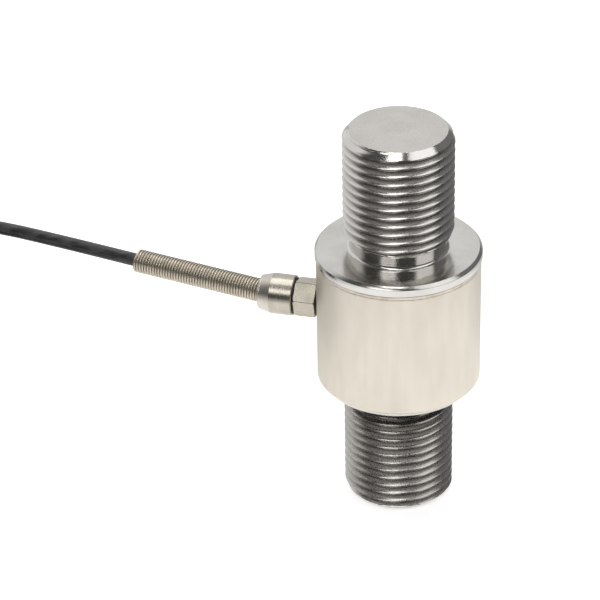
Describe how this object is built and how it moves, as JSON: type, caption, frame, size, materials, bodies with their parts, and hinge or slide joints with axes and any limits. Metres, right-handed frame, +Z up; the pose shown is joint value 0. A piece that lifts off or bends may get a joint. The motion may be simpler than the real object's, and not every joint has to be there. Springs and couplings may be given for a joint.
{
  "type": "in-line load cell",
  "caption": "In-line tension and compression load cell: a round stainless body with a threaded stud on each end, and a thin cable that leaves a radial gland through a spring strain relief",
  "frame": {"origin": "centre of the lower stud's end face, which the cell stands on", "axes": "+Z up along the load axis; the cable gland points along -X"},
  "size_m": [0.1715, 0.0555, 0.0897],
  "materials": {
    "element_steel": "turned stainless steel, fine concentric tool marks",
    "sleeve_steel": "satin stainless tube, slightly warm",
    "gauge_film": "amber polyimide backing",
    "spacer_plastic": "natural plastic",
    "board_laminate": "green solder mask",
    "tinned_metal": "bright tin",
    "resistor_ceramic": "black glazed chip",
    "copper_strip": "flat copper strip",
    "gland_steel": "satin nickel plating",
    "black_rubber": "black rubber",
    "ferrule_brass": "turned brass",
    "cap_plating": "polished nickel plating, satin nose",
    "spring_steel": "bright drawn wire",
    "cable_jacket": "dark grey jacket with a soft sheen",
    "tie_plastic": "black nylon",
    "shrink_plastic": "black heat-shrink sleeve",
    "red_insulation": "red insulation",
    "black_insulation": "black insulation",
    "green_insulation": "green insulation",
    "white_insulation": "white insulation"
  },
  "bodies": {
    "root": {"sensing_element": "element_steel", "outer_sleeve": "sleeve_steel", "strain_gauge_front": "gauge_film", "strain_gauge_right": "gauge_film", "strain_gauge_back": "gauge_film", "strain_gauge_left": "gauge_film", "board_spacer": "spacer_plastic", "terminal_board": "board_laminate", "solder_terminals": "tinned_metal", "trim_resistors": "resistor_ceramic", "bridge_leads": "copper_strip", "gland_body": "gland_steel", "gland_seal_washer": "black_rubber", "gland_o_ring": "black_rubber", "cable_grommet": "black_rubber", "clamp_ferrule": "ferrule_brass", "spring_washer": "gland_steel", "gland_cap": "cap_plating", "strain_relief_spring": "spring_steel", "cable_run": "cable_jacket", "cable_hank": "cable_jacket", "cable_tail": "cable_jacket", "cable_tie_near": "tie_plastic", "cable_tie_far": "tie_plastic", "heat_shrink": "shrink_plastic", "core_red": "red_insulation", "core_black": "black_insulation", "core_green": "green_insulation", "core_white": "white_insulation", "core_screen": "tinned_metal", "lead_red": "red_insulation", "lead_black": "black_insulation", "lead_green": "green_insulation", "lead_white": "white_insulation", "lead_screen": "tinned_metal"}
  },
  "joints": []
}
